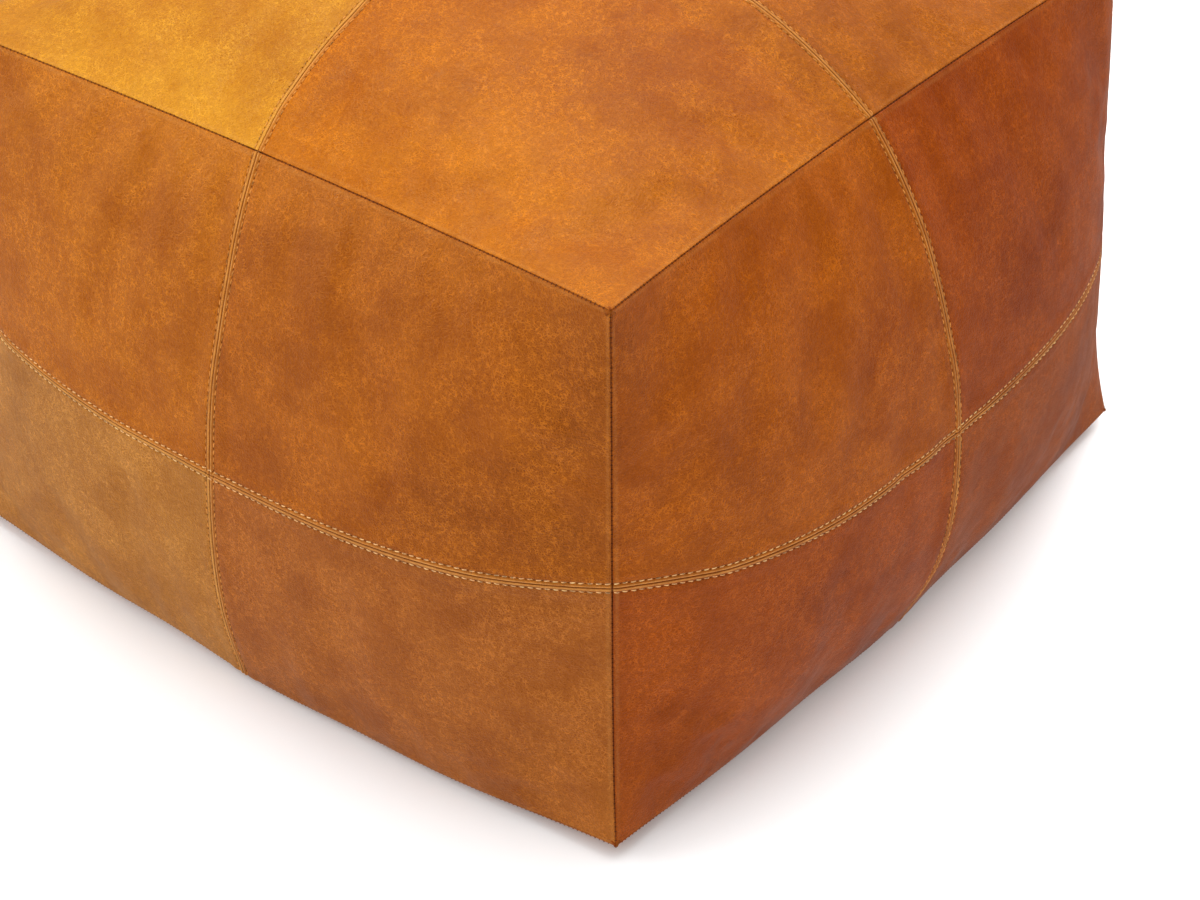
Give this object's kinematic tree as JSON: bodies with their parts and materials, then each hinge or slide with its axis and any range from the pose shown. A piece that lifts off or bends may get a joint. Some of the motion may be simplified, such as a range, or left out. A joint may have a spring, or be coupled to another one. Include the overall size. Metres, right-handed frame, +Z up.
{
  "type": "leather pouf",
  "caption": "Square stuffed leather pouf with panelled top and sides, twin topstitched cross seams, and a zip in the base over a cotton liner bag.",
  "frame": {"origin": "on the floor, under the middle of the pouf", "axes": "+Z up, -Y towards the front side, -X towards the left side, the zip runs along X"},
  "size_m": [0.6442, 0.6664, 0.435],
  "materials": {
    "leather_orange": "satin",
    "leather_tan": "satin",
    "leather_honey": "satin",
    "leather_russet": "satin",
    "leather_brown": "satin",
    "leather_olive": "satin",
    "thread": "matte",
    "zip_tape": "matte",
    "zip_coil": "satin",
    "zip_metal": "satin",
    "liner_cotton": "matte",
    "stuffing_fibre": "matte"
  },
  "bodies": {
    "pouf": {"top_panel_front_left": "leather_orange", "top_panel_front_right": "leather_tan", "top_panel_back_left": "leather_honey", "top_panel_back_right": "leather_russet", "front_panel_lower_left": "leather_brown", "front_panel_lower_right": "leather_olive", "front_panel_upper_left": "leather_tan", "front_panel_upper_right": "leather_russet", "right_panel_lower_front": "leather_tan", "right_panel_lower_back": "leather_russet", "right_panel_upper_front": "leather_olive", "right_panel_upper_back": "leather_tan", "back_panel_lower_right": "leather_russet", "back_panel_lower_left": "leather_tan", "back_panel_upper_right": "leather_brown", "back_panel_upper_left": "leather_orange", "left_panel_lower_back": "leather_honey", "left_panel_lower_front": "leather_russet", "left_panel_upper_back": "leather_russet", "left_panel_upper_front": "leather_tan", "base_panel_front": "leather_russet", "base_panel_back": "leather_tan", "zip_tape_front": "zip_tape", "zip_tape_back": "zip_tape", "zip_coil_front": "zip_coil", "zip_coil_back": "zip_coil", "zip_top_stop_front": "zip_metal", "zip_top_stop_back": "zip_metal", "zip_bottom_stop": "zip_metal", "liner_bag": "liner_cotton", "stuffing": "stuffing_fibre"},
    "slider": {"zip_slider": "zip_metal"},
    "pull": {"zip_pull": "zip_metal"}
  },
  "joints": [
    {"name": "zip_slide", "type": "slide", "parent": "pouf", "child": "slider", "axis": [-1, 0, 0], "range_m": [0, 0.359]},
    {"name": "pull_hinge", "type": "hinge", "parent": "slider", "child": "pull", "pos_m": [0.1795, 0, 0.0034], "axis": [0, -1, 0], "range_deg": [0, 180]}
  ]
}
